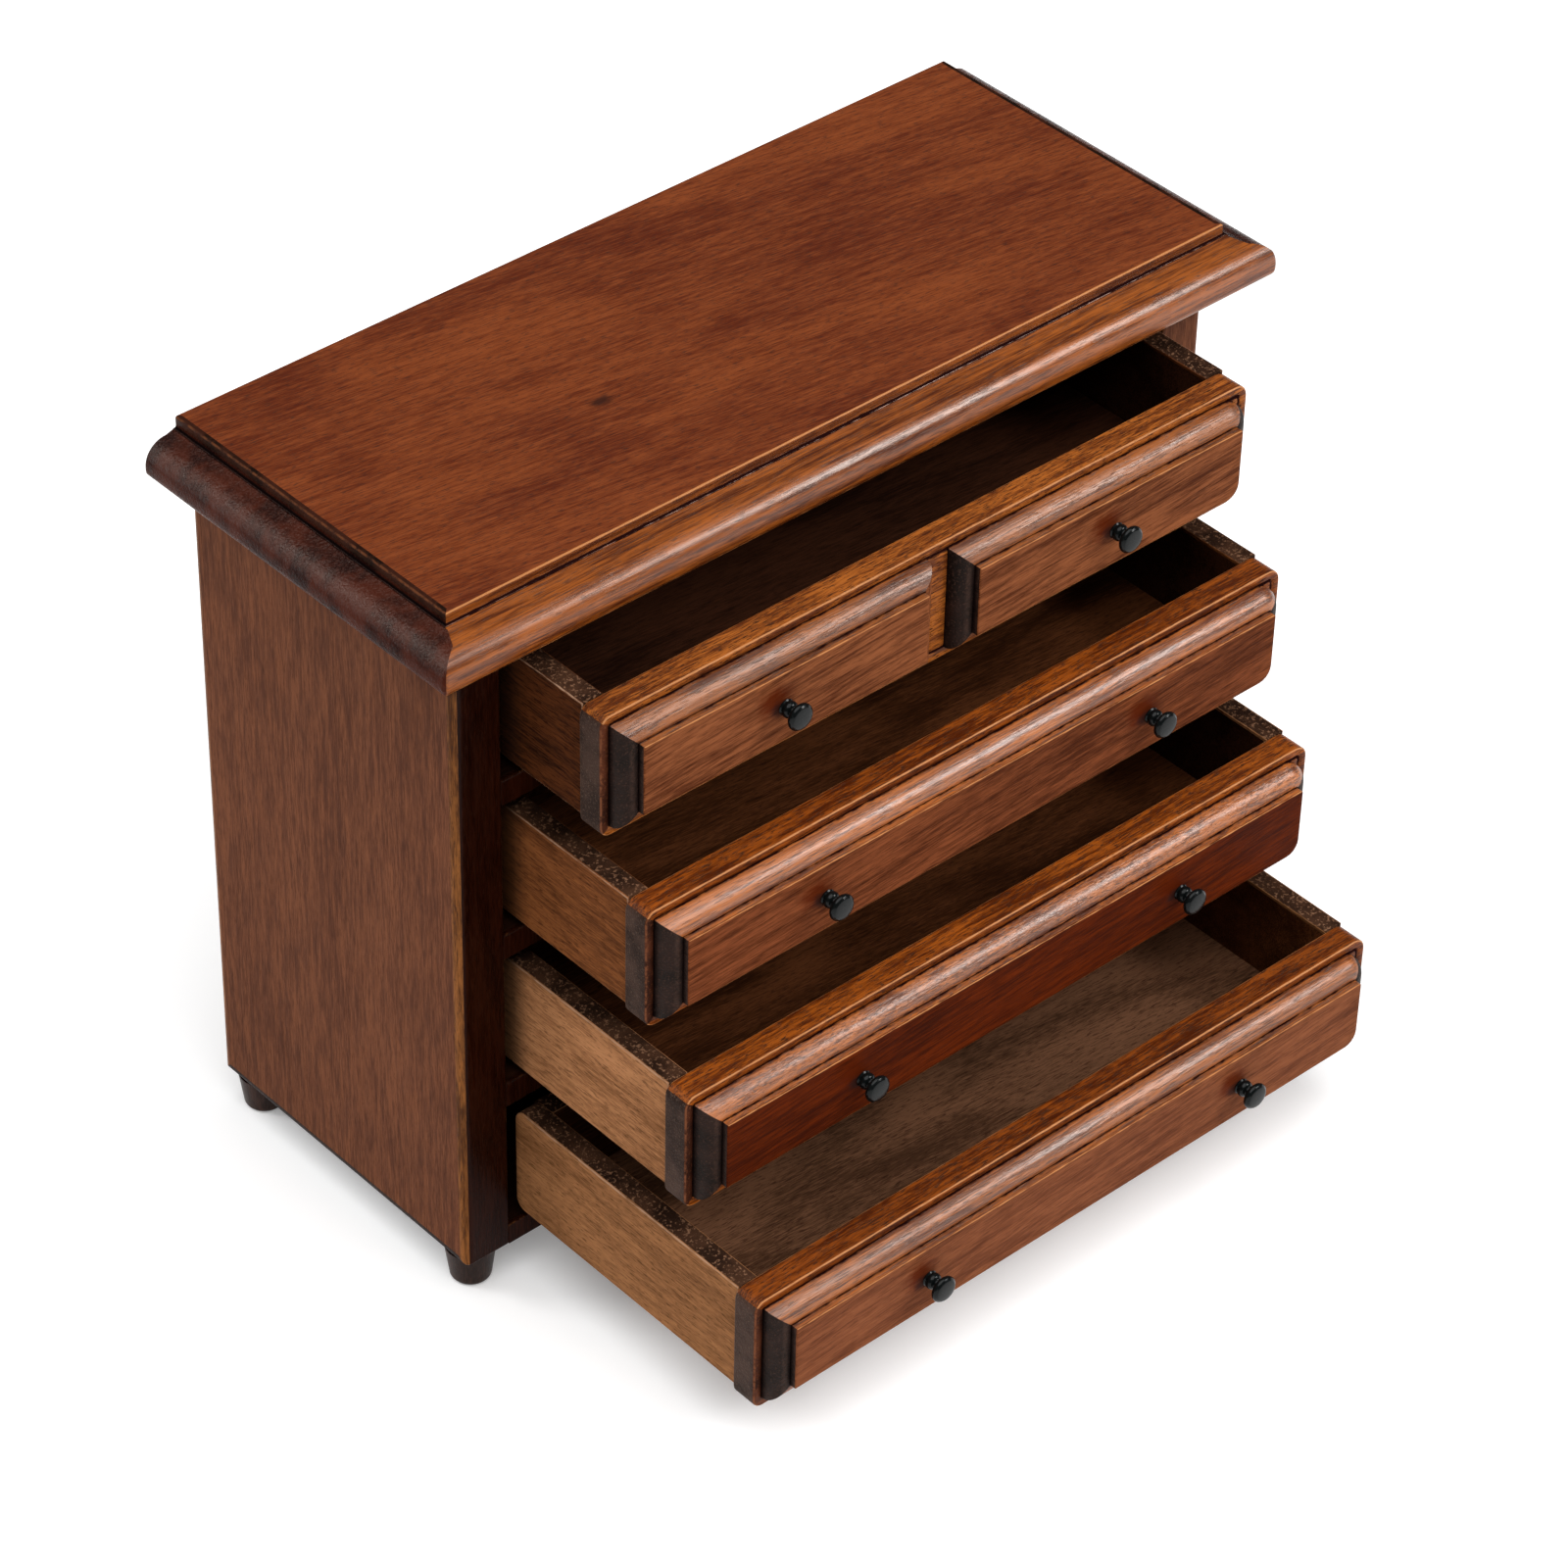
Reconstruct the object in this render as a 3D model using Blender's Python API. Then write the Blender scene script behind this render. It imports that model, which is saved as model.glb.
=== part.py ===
"""Miniature chest of drawers, in metres. X is to the right, Y to the back and Z up.
The origin is the middle of the footprint, at the level the feet stand on.
Drawers 1 (top) to 4 (bottom) slide along Y. They are drawn here partly pulled out.
"""

import math

import bmesh
import bpy

# Gap kept between two pieces that touch.
GAP = 0.0003

# Case: its outer size, and the boards it is made of.
CASE_WIDTH = 0.0800
CASE_DEPTH = 0.0328
CASE_HEIGHT = 0.0639
PANEL_THICKNESS = 0.0046
PANEL_EASING = 0.0007
BOTTOM_THICKNESS = 0.0022
DIVIDER_THICKNESS = 0.0026
OPENING_HEIGHT = 0.01305
RAIL_HEIGHT = 0.00175
RAIL_DEPTH = 0.0050
BOARD_EASING = 0.0001

# Top board: a flat field, a small step down, then a moulding that falls a little, with a rounded nose.
TOP_THICKNESS = 0.0045
TOP_SIDE_OVERHANG = 0.00405
TOP_FRONT_OVERHANG = 0.0043
TOP_SIDE_MOULDING = 0.0031
TOP_FRONT_MOULDING = 0.00365
TOP_STEP = 0.0010
TOP_FALL = 0.0003
TOP_NOSE = 0.0014
TOP_UNDER_EASING = 0.0004

# Feet: turned, a little wider at the top, with a rounded lower edge.
FOOT_HEIGHT = 0.0035
FOOT_TOP_RADIUS = 0.0022
FOOT_BOTTOM_RADIUS = 0.0018
FOOT_EASING = 0.0005
FOOT_INSET = 0.0024

# Drawer fronts: a lip, a narrow ledge, a quarter-round moulding, a step and a raised field.
DRAWER_COUNT = 4
FRONT_WIDTH = 0.0688
FRONT_HEIGHT = 0.0115
FRONT_CORNER = 0.0010
LIP_THICKNESS = 0.0025
LEDGE = 0.00085
FRONT_MOULDING = 0.00155
FIELD_STEP = 0.00065
CHANNEL_HALF_WIDTH = 0.0011

# Drawer boxes: measured back from the front face of the lip.
BOX_WIDTH = 0.0682
BOX_LENGTH = 0.0299
BOX_LIFT = 0.00075
BOX_CORNER = 0.0011
SIDE_THICKNESS = 0.00205
BACK_BOARD_THICKNESS = 0.0021
BACK_BOARD_DROP = 0.0004
FLOOR_THICKNESS = 0.0020

# Knobs: a flat collar, a bulging neck, a waist and a domed head with a rounded edge.
KNOB_SPACING = 0.0354
KNOB_LENGTH = 0.0018
KNOB_COLLAR_RADIUS = 0.00078
KNOB_COLLAR_LENGTH = 0.0002
KNOB_NECK_RADIUS = 0.00072
KNOB_NECK_END = 0.00085
KNOB_WAIST_RADIUS = 0.00045
KNOB_HEAD_START = 0.0012
KNOB_HEAD_RADIUS = 0.0012
KNOB_HEAD_EASING = 0.00022
KNOB_DOME = 0.0001

# How far each drawer stands pulled out, from the top one to the bottom one.
PULLS = (0.0107, 0.0160, 0.0208, 0.0293)

ARC_STEPS = 6
CORNER_STEPS = 3
TURNED_SIDES = 20

# A closed drawer's lip is level with the front of the case, and its back board stops at the back panel.
BACK_THICKNESS = CASE_DEPTH - BOX_LENGTH - GAP

# Where the case stands: its front is moved back so that the whole object is centred on the origin.
FIELD_PROUD = FRONT_MOULDING + FIELD_STEP
LONGEST_REACH = max(PULLS) + FIELD_PROUD + GAP + KNOB_LENGTH
CASE_FRONT_Y = (LONGEST_REACH - CASE_DEPTH) / 2
TOP_Z = FOOT_HEIGHT + CASE_HEIGHT
INNER_HALF_WIDTH = CASE_WIDTH / 2 - PANEL_THICKNESS

# Name: colour, roughness, metallic.
FINISHES = {
    "walnut_top": ((0.34, 0.13, 0.07, 1.0), 0.38, 0.0),
    "walnut_case": ((0.20, 0.07, 0.04, 1.0), 0.50, 0.0),
    "walnut_front": ((0.42, 0.17, 0.07, 1.0), 0.35, 0.0),
    "tan_side": ((0.45, 0.30, 0.18, 1.0), 0.65, 0.0),
    "walnut_inside": ((0.17, 0.08, 0.05, 1.0), 0.60, 0.0),
    "dark_foot": ((0.10, 0.05, 0.03, 1.0), 0.50, 0.0),
    "black_knob": ((0.02, 0.02, 0.02, 1.0), 0.22, 0.0),
}


def clear_scene():
    for obj in list(bpy.data.objects):
        bpy.data.objects.remove(obj, do_unlink=True)


def finish(name):
    """The material of that name, made the first time it is asked for."""
    known = bpy.data.materials.get(name)
    if known:
        return known
    colour, roughness, metallic = FINISHES[name]
    material = bpy.data.materials.new(name)
    material.use_nodes = True
    shader = material.node_tree.nodes["Principled BSDF"]
    shader.inputs["Base Color"].default_value = colour
    shader.inputs["Roughness"].default_value = roughness
    shader.inputs["Metallic"].default_value = metallic
    material.diffuse_color = colour
    return material


def add_object(name, mesh, material, location=(0, 0, 0), parent=None):
    obj = bpy.data.objects.new(name, mesh)
    bpy.context.scene.collection.objects.link(obj)
    mesh.materials.append(finish(material))
    obj.location = location
    obj.parent = parent
    return obj


def mesh_from(name, bm, smooth=False):
    """Turns a bmesh into a mesh whose faces point out."""
    bmesh.ops.recalc_face_normals(bm, faces=bm.faces)
    mesh = bpy.data.meshes.new(name)
    bm.to_mesh(mesh)
    bm.free()
    if smooth:
        mesh.shade_smooth()
        mesh.set_sharp_from_angle(angle=math.radians(35))
    return mesh


def sharp_board(low, high):
    """A board between two corners, before its edges are eased."""
    bm = bmesh.new()
    bmesh.ops.create_cube(bm, size=1)
    for vert in bm.verts:
        for axis in range(3):
            vert.co[axis] = high[axis] if vert.co[axis] > 0 else low[axis]
    return bm


def board_mesh(name, low, high):
    """A board between two corners, with all its edges a little eased."""
    bm = sharp_board(low, high)
    bmesh.ops.bevel(bm, geom=bm.edges[:], offset=BOARD_EASING, segments=1, affect="EDGES")
    return mesh_from(name, bm)


def stack_rings(bm, rings):
    """Joins closed rings of the same number of points into one solid, with a face over each end."""
    loops = [[bm.verts.new(point) for point in ring] for ring in rings]
    for below, above in zip(loops, loops[1:]):
        for i in range(len(below)):
            j = (i + 1) % len(below)
            bm.faces.new((below[i], below[j], above[j], above[i]))
    bm.faces.new(loops[0])
    bm.faces.new(loops[-1])


def quarter_round(width, depth, steps=ARC_STEPS):
    """(in, up) from the outer edge of a quarter-round moulding to its inner edge."""
    angles = [math.pi / 2 * i / steps for i in range(steps + 1)]
    return [(width * (1 - math.cos(a)), depth * math.sin(a)) for a in angles]


def rounded_outline(left, right, low, high, radius, steps=CORNER_STEPS):
    """Points (x, z) around a rectangle whose four corners are rounded."""
    corners = (
        (right - radius, high - radius, 0),
        (left + radius, high - radius, math.pi / 2),
        (left + radius, low + radius, math.pi),
        (right - radius, low + radius, 3 * math.pi / 2),
    )
    points = []
    for x, z, start in corners:
        for i in range(steps + 1):
            a = start + math.pi / 2 * i / steps
            points.append((x + radius * math.cos(a), z + radius * math.sin(a)))
    return points


def top_profile():
    """(in at the ends, in at the front, up) of the top board, from its underside to its field."""
    foot = TOP_THICKNESS - TOP_STEP
    nose = foot - TOP_FALL - TOP_NOSE
    profile = [(TOP_UNDER_EASING, TOP_UNDER_EASING, 0.0), (0.0, 0.0, TOP_UNDER_EASING)]
    profile += [(inward, inward, nose + up) for inward, up in quarter_round(TOP_NOSE, TOP_NOSE)]
    profile.append((TOP_SIDE_MOULDING, TOP_FRONT_MOULDING, foot))
    profile.append((TOP_SIDE_MOULDING, TOP_FRONT_MOULDING, TOP_THICKNESS))
    return profile


def make_top_board():
    """The moulding runs along the front and both ends, and the rear edge is square."""
    rings = []
    for end_inset, front_inset, z in top_profile():
        x = CASE_WIDTH / 2 + TOP_SIDE_OVERHANG - end_inset
        y = front_inset - TOP_FRONT_OVERHANG
        rings.append([(-x, y, z), (x, y, z), (x, CASE_DEPTH, z), (-x, CASE_DEPTH, z)])
    bm = bmesh.new()
    stack_rings(bm, rings)
    mesh = mesh_from("top_board", bm)
    add_object("top_board", mesh, "walnut_top", (0, CASE_FRONT_Y, TOP_Z))


def make_side_panel(name, side):
    """side is -1 for the left panel and 1 for the right one. The two outer upright edges are eased."""
    inner = side * INNER_HALF_WIDTH
    outer = side * CASE_WIDTH / 2
    low = (min(inner, outer), 0, 0)
    high = (max(inner, outer), CASE_DEPTH, CASE_HEIGHT - GAP)
    bm = sharp_board(low, high)
    uprights = [
        edge
        for edge in bm.edges
        if all(abs(vert.co.x - outer) < GAP for vert in edge.verts)
        and abs(edge.verts[0].co.z - edge.verts[1].co.z) > GAP
    ]
    bmesh.ops.bevel(bm, geom=uprights, offset=PANEL_EASING, segments=4, profile=0.5, affect="EDGES")
    mesh = mesh_from(name, bm)
    add_object(name, mesh, "walnut_case", (0, CASE_FRONT_Y, FOOT_HEIGHT))


def make_board(name, low, high, material="walnut_case"):
    """A plain board of the case. low and high are measured from the case's front, at foot-top level."""
    add_object(name, board_mesh(name, low, high), material, (0, CASE_FRONT_Y, FOOT_HEIGHT))


def opening_floor(number):
    """Height of the floor of drawer number's opening, above the top of the feet."""
    return BOTTOM_THICKNESS + (DRAWER_COUNT - number) * (OPENING_HEIGHT + DIVIDER_THICKNESS)


def make_case_boards():
    x = INNER_HALF_WIDTH - GAP
    inner_rear = CASE_DEPTH - BACK_THICKNESS - GAP
    make_board("bottom_board", (-x, 0, 0), (x, inner_rear, BOTTOM_THICKNESS))
    for number, name in ((1, "divider_upper"), (2, "divider_middle"), (3, "divider_lower")):
        top = opening_floor(number)
        make_board(name, (-x, 0, top - DIVIDER_THICKNESS), (x, inner_rear, top))
    rail_top = CASE_HEIGHT - GAP
    make_board("top_rail", (-x, 0, CASE_HEIGHT - RAIL_HEIGHT), (x, RAIL_DEPTH, rail_top))
    back_front = CASE_DEPTH - BACK_THICKNESS
    make_board("back_panel", (-x, back_front, 0), (x, CASE_DEPTH, rail_top), "walnut_inside")


def turned_mesh(name, outline, axis):
    """Turns a list of (radius, distance along the axis) about Z, or about Y if axis is "Y"."""
    rings = []
    for radius, along in outline:
        ring = []
        for i in range(TURNED_SIDES):
            a = 2 * math.pi * i / TURNED_SIDES
            u, v = radius * math.cos(a), radius * math.sin(a)
            ring.append((u, v, along) if axis == "Z" else (u, along, v))
        rings.append(ring)
    bm = bmesh.new()
    stack_rings(bm, rings)
    return mesh_from(name, bm, smooth=True)


def make_feet():
    """Each foot is a tapered peg. Its lower edge is rounded."""
    outline = [
        (FOOT_BOTTOM_RADIUS - inward, FOOT_EASING - down)
        for inward, down in reversed(quarter_round(FOOT_EASING, FOOT_EASING))
    ]
    outline.append((FOOT_TOP_RADIUS, FOOT_HEIGHT - GAP))
    x = CASE_WIDTH / 2 - FOOT_INSET
    places = {
        "foot_front_left": (-x, FOOT_INSET),
        "foot_front_right": (x, FOOT_INSET),
        "foot_rear_left": (-x, CASE_DEPTH - FOOT_INSET),
        "foot_rear_right": (x, CASE_DEPTH - FOOT_INSET),
    }
    for name, (px, py) in places.items():
        mesh = turned_mesh(name, outline, "Z")
        add_object(name, mesh, "dark_foot", (px, CASE_FRONT_Y + py, 0))


def raised_rings(left, right, low, high, base):
    """Rings of a raised panel: from base forward, over the moulding and the step, to the field."""
    steps = [(0.0, base)]
    steps += [(inward, -forward) for inward, forward in quarter_round(FRONT_MOULDING, FRONT_MOULDING)]
    steps.append((FRONT_MOULDING, -FIELD_PROUD))
    rings = []
    for inward, y in steps:
        radius = max(FRONT_CORNER - LEDGE - inward, GAP / 3)
        outline = rounded_outline(left + inward, right - inward, low + inward, high - inward, radius)
        rings.append([(x, y, z) for x, z in outline])
    return rings


def make_front(number, parent):
    """Drawer front: y 0 is the front face of the lip, z 0 its lower edge. The top one has two raised panels."""
    name = f"drawer_{number}_front"
    half = FRONT_WIDTH / 2
    lip = rounded_outline(-half, half, 0, FRONT_HEIGHT, FRONT_CORNER)
    bm = bmesh.new()
    stack_rings(bm, [[(x, y, z) for x, z in lip] for y in (LIP_THICKNESS, 0)])
    slab = mesh_from(name, bm)
    front = add_object(name, slab, "walnut_front", (0, 0, 0), parent)
    outer = half - LEDGE
    spans = [(-outer, outer)]
    if number == 1:
        spans = [(-outer, -CHANNEL_HALF_WIDTH), (CHANNEL_HALF_WIDTH, outer)]
    for i, (left, right) in enumerate(spans):
        bm = bmesh.new()
        rooted = LIP_THICKNESS / 2
        stack_rings(bm, raised_rings(left, right, LEDGE, FRONT_HEIGHT - LEDGE, rooted))
        panel_name = f"{name}_panel_{i + 1}"
        panel = add_object(panel_name, mesh_from(panel_name, bm), "walnut_front", (0, 0, 0), parent)
        panel.hide_render = True
        panel.display_type = "WIRE"
        union = front.modifiers.new(panel_name, "BOOLEAN")
        union.operation = "UNION"
        union.object = panel


def make_side(number, name, side, parent):
    """A drawer side, seen from the end as a plain board, with its two rear corners rounded."""
    rear_low, rear_high = BOX_LIFT, FRONT_HEIGHT
    start, end = LIP_THICKNESS + GAP, BOX_LENGTH
    outline = [(start, rear_low)]
    for i in range(ARC_STEPS + 1):
        a = -math.pi / 2 + math.pi / 2 * i / ARC_STEPS
        centre = (end - BOX_CORNER, rear_low + BOX_CORNER)
        outline.append((centre[0] + BOX_CORNER * math.cos(a), centre[1] + BOX_CORNER * math.sin(a)))
    for i in range(ARC_STEPS + 1):
        a = math.pi / 2 * i / ARC_STEPS
        centre = (end - BOX_CORNER, rear_high - BOX_CORNER)
        outline.append((centre[0] + BOX_CORNER * math.cos(a), centre[1] + BOX_CORNER * math.sin(a)))
    outline.append((start, rear_high))
    outer = side * BOX_WIDTH / 2
    inner = outer - side * SIDE_THICKNESS
    bm = bmesh.new()
    stack_rings(bm, [[(x, y, z) for y, z in outline] for x in (inner, outer)])
    full_name = f"drawer_{number}_{name}"
    add_object(full_name, mesh_from(full_name, bm), "tan_side", (0, 0, 0), parent)


def make_drawer_boards(number, parent):
    """The floor and the back board, which both fit between the sides."""
    x = BOX_WIDTH / 2 - SIDE_THICKNESS - GAP
    back_front = BOX_LENGTH - BACK_BOARD_THICKNESS
    floor_name = f"drawer_{number}_bottom"
    floor_low = (-x, LIP_THICKNESS + GAP, BOX_LIFT)
    floor_high = (x, back_front - GAP, BOX_LIFT + FLOOR_THICKNESS)
    add_object(floor_name, board_mesh(floor_name, floor_low, floor_high), "walnut_inside", (0, 0, 0), parent)
    back_name = f"drawer_{number}_back"
    back_low = (-x, back_front, BOX_LIFT)
    back_high = (x, BOX_LENGTH, FRONT_HEIGHT - BACK_BOARD_DROP)
    add_object(back_name, board_mesh(back_name, back_low, back_high), "walnut_inside", (0, 0, 0), parent)


def knob_outline():
    """(radius, y) from the collar, over the bulging neck and the waist, to the domed head. Y runs backwards."""
    outline = [(KNOB_COLLAR_RADIUS, 0.0), (KNOB_COLLAR_RADIUS, KNOB_COLLAR_LENGTH)]
    for i in range(ARC_STEPS + 1):
        share = i / ARC_STEPS
        bulge = (KNOB_NECK_RADIUS - KNOB_WAIST_RADIUS) * math.sin(math.pi * share)
        along = KNOB_COLLAR_LENGTH + (KNOB_NECK_END - KNOB_COLLAR_LENGTH) * share
        outline.append((KNOB_WAIST_RADIUS + bulge, along))
    outline.append((KNOB_WAIST_RADIUS, KNOB_HEAD_START))
    outline.append((KNOB_HEAD_RADIUS - KNOB_HEAD_EASING, KNOB_HEAD_START))
    outline.append((KNOB_HEAD_RADIUS, KNOB_HEAD_START + KNOB_HEAD_EASING))
    outline.append((KNOB_HEAD_RADIUS, KNOB_LENGTH - KNOB_DOME - KNOB_HEAD_EASING / 2))
    outline.append((KNOB_HEAD_RADIUS - KNOB_HEAD_EASING, KNOB_LENGTH - KNOB_DOME))
    outline.append((KNOB_HEAD_RADIUS / 2, KNOB_LENGTH))
    return [(radius, -along) for radius, along in outline]


def make_knobs(number, parent):
    base_y = -FIELD_PROUD - GAP
    for name, side in (("knob_left", -1), ("knob_right", 1)):
        full_name = f"drawer_{number}_{name}"
        place = (side * KNOB_SPACING / 2, base_y, FRONT_HEIGHT / 2)
        add_object(full_name, turned_mesh(full_name, knob_outline(), "Y"), "black_knob", place, parent)


def make_drawer(number, pull):
    """Everything in a drawer hangs on an empty at the lower edge of its lip, on the line it slides along."""
    runner = bpy.data.objects.new(f"drawer_{number}", None)
    bpy.context.scene.collection.objects.link(runner)
    floor = FOOT_HEIGHT + opening_floor(number)
    runner.location = (0, CASE_FRONT_Y - pull, floor + GAP)
    make_front(number, runner)
    make_side(number, "side_left", -1, runner)
    make_side(number, "side_right", 1, runner)
    make_drawer_boards(number, runner)
    make_knobs(number, runner)


def main():
    clear_scene()
    make_top_board()
    make_side_panel("side_panel_left", -1)
    make_side_panel("side_panel_right", 1)
    make_case_boards()
    make_feet()
    for number, pull in enumerate(PULLS, start=1):
        make_drawer(number, pull)


main()
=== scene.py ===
"""Looks of a miniature chest of drawers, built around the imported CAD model. Everything is in metres."""

import math

import bmesh
import bpy
from mathutils import Euler, Matrix, Vector


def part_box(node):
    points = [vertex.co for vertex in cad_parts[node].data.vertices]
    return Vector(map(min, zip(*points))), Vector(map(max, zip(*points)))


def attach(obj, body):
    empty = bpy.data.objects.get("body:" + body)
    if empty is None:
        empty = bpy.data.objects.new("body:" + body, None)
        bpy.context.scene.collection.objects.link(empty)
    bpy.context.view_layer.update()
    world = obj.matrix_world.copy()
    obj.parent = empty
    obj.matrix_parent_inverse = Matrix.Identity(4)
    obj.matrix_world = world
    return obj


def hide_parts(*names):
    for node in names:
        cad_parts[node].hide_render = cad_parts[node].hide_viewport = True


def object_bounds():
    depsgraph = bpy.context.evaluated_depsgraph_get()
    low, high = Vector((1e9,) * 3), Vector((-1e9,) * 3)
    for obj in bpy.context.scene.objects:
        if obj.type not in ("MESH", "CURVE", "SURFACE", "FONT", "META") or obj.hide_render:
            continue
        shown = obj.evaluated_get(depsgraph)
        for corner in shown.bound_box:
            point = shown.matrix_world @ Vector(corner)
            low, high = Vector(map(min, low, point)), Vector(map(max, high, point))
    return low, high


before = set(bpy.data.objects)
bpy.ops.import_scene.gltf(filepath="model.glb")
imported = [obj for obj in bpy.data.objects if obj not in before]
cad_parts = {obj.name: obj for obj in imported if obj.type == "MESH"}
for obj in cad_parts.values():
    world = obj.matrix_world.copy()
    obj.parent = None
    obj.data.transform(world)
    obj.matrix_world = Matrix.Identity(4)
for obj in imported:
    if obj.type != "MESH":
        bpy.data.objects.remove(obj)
cad_low, cad_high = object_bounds()

MM = 0.001
DRAWERS = (1, 2, 3, 4)
BOTTOM_DRAWER = DRAWERS[-1]

# Top board: width of its moulding at the ends and at the front, and the shape of that moulding.
TOP_SIDE_MOULDING = 3.1 * MM
TOP_FRONT_MOULDING = 3.65 * MM
TOP_STEP = 1.0 * MM
TOP_FALL = 0.3 * MM
TOP_SIDE_NOSE = 2.1 * MM
TOP_FRONT_NOSE = 1.6 * MM
TOP_UNDER = 0.75 * MM
TOP_UNDER_BORDER = 3.4 * MM
TOP_FILLET = 0.15 * MM
TOP_FIELD_EDGE = 0.18 * MM

# The upper end of that moulding's slope, a groove and a fillet of varnish: the share of the way up the slope, a shift
# along it in mm, how much of the slope's rise is reached, and the grime.
TOP_SLOPE = (
    (0.75, 0.0, 0.8, 0.0),
    (1.0, -0.30, 0.98, 0.0),
    (1.0, -0.21, 0.80, 0.9),
    (1.0, -0.16, 0.92, 0.6),
)

# Side panels of the case: how round the edges of the outer and of the inner face are.
PANEL_OUTER_EDGE = 0.75 * MM
PANEL_INNER_EDGE = 0.15 * MM

# Drawer fronts: a lip, and on it raised panels with a moulding round them.
LIP_THICKNESS = 2.5 * MM
LEDGE = 0.85 * MM
FRONT_MOULDING = 1.55 * MM
FRONT_CORNER = 1.0 * MM
CHANNEL_HALF_WIDTH = 1.1 * MM
LIP_EDGE = 0.16 * MM
FIELD_EDGE = 0.12 * MM

# Where the ledge dips to the foot of the moulding: how far past the ledge's width and how deep in mm, and the grime.
LEDGE_DIP = ((-0.18, 0.02, 0.15), (-0.04, 0.10, 0.75), (0.15, 0.06, 1.0), (0.4, 0.0, 0.0))

# The dark quirk between the moulding's crest and the field: how far in and how high in mm, and the grime.
QUIRK = ((0.02, -0.12, 1.0), (0.06, -0.10, 1.0), (0.06, 0.12, 0.5))

# Grime on the first rows of the moulding, up from its foot, and the rows near its crest that are worn.
MOULDING_FOOT_GRIME = (0.8, 0.25, 0.05)
MOULDING_WORN_ROWS = (9, 10)

# Drawer sides: how round their rear corners are, and the edges of their outer and inner faces.
BOX_CORNER = 1.1 * MM
SIDE_OUTER_EDGE = 0.16 * MM
SIDE_INNER_EDGE = 0.08 * MM

# The gap that the CAD pieces keep, which these pieces close.
GAP = 0.3 * MM

# How finely curves are divided.
CORNER_STEPS = 5
EDGE_STEPS = 4
MOULDING_STEPS = 12
FILLET_STEPS = 3
TURNED_SIDES = 40

# Faces that meet at a larger angle than this keep a sharp edge.
SMOOTH_ANGLE = math.radians(50)

# Camera: where it stands from the middle of the case's front edge under the top board, and how it looks.
CAMERA_FROM_CASE = Vector((-0.24208, -0.25705, 0.25057))
CAMERA_AZIMUTH = 41.47
CAMERA_DOWN = 38.71
CAMERA_ROLL = 0.69
CAMERA_LENS = 126.05
CAMERA_SHIFT = (0.0531, -0.0083)

# Lights: an even one from above, (name, place, size, power) of the two that are aimed at the middle of the object, and
# how strongly the backdrop lights it.
OVERHEAD_DIRECTION = (-0.16, -0.26, 1.0)
OVERHEAD_ANGLE = math.radians(62)
OVERHEAD_STRENGTH = 3.0
AREA_LIGHTS = (
    ("front_right", (0.42, -0.44, 0.46), (0.28, 0.22), 3.1),
    ("rear_left", (-0.46, 0.48, 0.48), (0.24, 0.18), 1.7),
)
BACKDROP_LIGHT = 0.09

# Ground: half its width, how far it is below the feet, and how strongly it glows.
GROUND_HALF_WIDTH = 3.0
GROUND_DROP = 0.02 * MM
GROUND_GLOW = 0.22


# Shader helpers


def node(tree, kind, inputs=None, **settings):
    """Adds a node. inputs holds sockets to link or values to set, by input name or number."""
    made = tree.nodes.new(kind)
    for key, value in settings.items():
        setattr(made, key, value)
    for key, value in (inputs or {}).items():
        if isinstance(value, bpy.types.NodeSocket):
            tree.links.new(value, made.inputs[key])
        else:
            made.inputs[key].default_value = value
    return made


def rgba(colour):
    return (*colour, 1.0)


def mix(tree, factor, a, b):
    """Colour a, or as much of colour b as factor says. The numbers are those of the node's colour sockets."""
    return node(tree, "ShaderNodeMix", {0: factor, 6: a, 7: b}, data_type="RGBA").outputs[2]


def maths(tree, operation, a, b, clamp=False):
    made = node(tree, "ShaderNodeMath", {0: a, 1: b}, operation=operation, use_clamp=clamp)
    return made.outputs[0]


def ramp(tree, value, low, high, to_low=0.0, to_high=1.0):
    """value, brought from low..high to to_low..to_high with a soft start and end."""
    made = node(
        tree,
        "ShaderNodeMapRange",
        {"Value": value, "From Min": low, "From Max": high, "To Min": to_low, "To Max": to_high},
        interpolation_type="SMOOTHSTEP",
    )
    return made.outputs[0]


def noise(tree, vector, detail=3.0, roughness=0.55, distortion=0.0):
    inputs = {"Vector": vector, "Scale": 1.0, "Detail": detail, "Roughness": roughness, "Distortion": distortion}
    return node(tree, "ShaderNodeTexNoise", inputs).outputs[0]


def attribute(tree, name):
    """A weight painted on the mesh's vertices."""
    return node(tree, "ShaderNodeAttribute", attribute_name=name).outputs["Fac"]


def object_place(tree):
    return node(tree, "ShaderNodeTexCoord").outputs["Object"]


def new_material(name):
    material = bpy.data.materials.new(name)
    material.use_nodes = True
    return material, material.node_tree, material.node_tree.nodes["Principled BSDF"]


# The turn that brings each axis to X, and how far a seed of 1 moves the wood.
GRAIN_TURN = {"X": (0, 0, 0), "Y": (0, 0, -math.pi / 2), "Z": (0, math.pi / 2, 0)}
SEED_STEP = Vector((0.137, 0.071, 0.053))

# A ragged border: how much noise is added to the painted weight, and the sums at which the border starts and ends.
RAGGED_NOISE = 1.2
RAGGED_START, RAGGED_END = 0.95, 1.45

# A stain, and likewise a knob's painted shadow: how strong it is, and where it starts and stops to fade, in radii.
STAIN_AND_SHADOW_STRENGTH = 0.85
STAIN_AND_SHADOW_FADE_START, STAIN_AND_SHADOW_FADE_END = 0.75, 1.5

# Painted shade on the part of a drawer's side that stays in the case, where the case shades it: its colour, how
# strong it is, and how soft and ragged its border.
PAINTED_SHADE_COLOUR = (0.010, 0.005, 0.003)
PAINTED_SHADE_STRENGTH = 0.72
PAINTED_SHADE_BORDER = 1.3 * MM
PAINTED_SHADE_NOISE = 1.2 * MM

WOOD_GRIME = (0.012, 0.003, 0.003)
COAT_ROUGHNESS = 0.24
RELIEF_DEPTH = 0.03 * MM

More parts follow.
